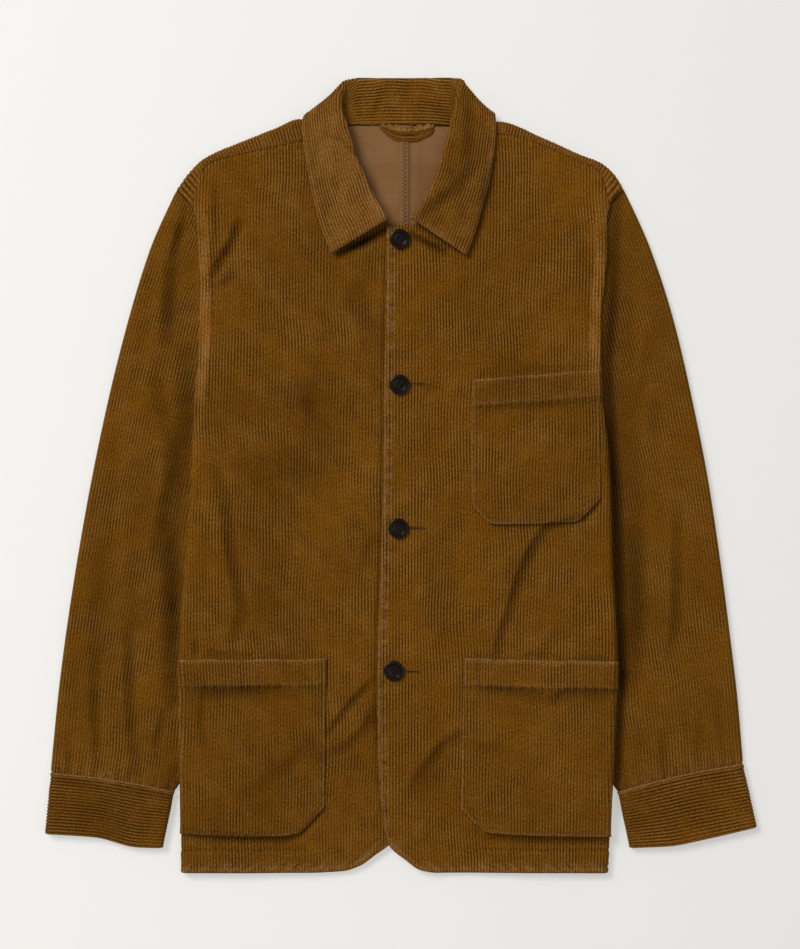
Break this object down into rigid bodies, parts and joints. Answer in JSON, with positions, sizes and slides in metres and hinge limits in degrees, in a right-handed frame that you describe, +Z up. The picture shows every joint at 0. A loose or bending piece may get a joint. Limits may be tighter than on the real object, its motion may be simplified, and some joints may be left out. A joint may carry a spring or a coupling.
{
  "type": "jacket",
  "caption": "Buttoned corduroy work jacket with a convertible collar, patch pockets with cut corners and turned-up cuffs, laid flat on its back.",
  "frame": {"origin": "centre of the jacket's outline, on the surface that it lies on", "axes": "+Y from the hem to the collar, +X to the wearer's left, +Z up out of the front"},
  "size_m": [0.7121, 0.7944, 0.023],
  "materials": {
    "corduroy": "8-wale cotton corduroy, tobacco brown",
    "corduroy_worn": "8-wale cotton corduroy, turned double, with paler worn ribs",
    "horn": "dark horn-like, satin"
  },
  "bodies": {
    "root": {"back_left": "corduroy", "back_right": "corduroy", "front_left": "corduroy", "front_right": "corduroy", "sleeve_left": "corduroy", "sleeve_right": "corduroy", "cuff_left": "corduroy_worn", "cuff_right": "corduroy_worn", "collar": "corduroy_worn", "chest_pocket": "corduroy", "lower_pocket_left": "corduroy", "lower_pocket_right": "corduroy", "button_1": "horn", "button_2": "horn", "button_3": "horn", "button_4": "horn", "hanger_loop": "corduroy_worn"}
  },
  "joints": []
}
